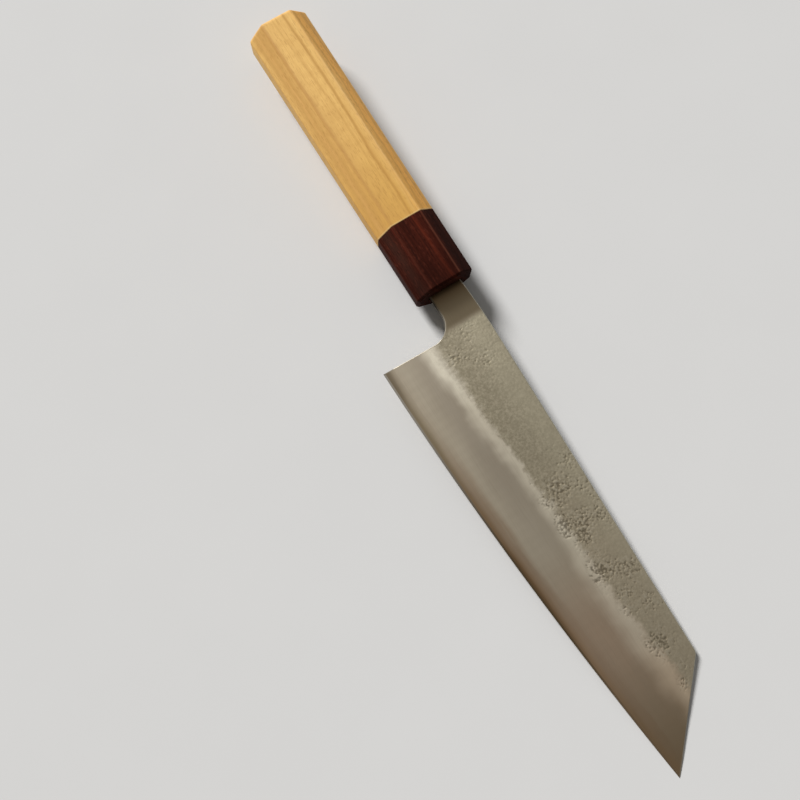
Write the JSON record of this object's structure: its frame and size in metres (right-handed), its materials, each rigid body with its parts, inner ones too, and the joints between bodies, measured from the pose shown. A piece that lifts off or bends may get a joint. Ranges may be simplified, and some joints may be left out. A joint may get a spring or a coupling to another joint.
{
  "type": "bunka knife",
  "caption": "Kitchen knife with a clipped-tip laminated steel blade, pitted upper faces and a ground bevel, on a pale octagonal wooden handle with a dark wooden ferrule.",
  "frame": {"origin": "under the middle of the knife's box, on the surface that it lies on with its left side down", "axes": "+X along the handle towards the point, +Y towards the spine, +Z out of the blade's right face"},
  "size_m": [0.324, 0.051, 0.0203],
  "materials": {
    "core_steel": "polished hard steel along the cutting edge",
    "cladding_steel": "pear-skin pitted above, hazy ground bevel below",
    "dark_wood": "satin, oiled dark red-brown wood",
    "pale_wood": "fine sanded, straight grain along the handle",
    "dowel_wood": "plain, hidden",
    "bedding_resin": "dark cured resin"
  },
  "bodies": {
    "root": {"blade_core": "core_steel", "right_cladding": "cladding_steel", "left_cladding": "cladding_steel", "ferrule": "dark_wood", "handle_body": "pale_wood", "dowel": "dowel_wood", "tang_bedding": "bedding_resin"}
  },
  "joints": []
}
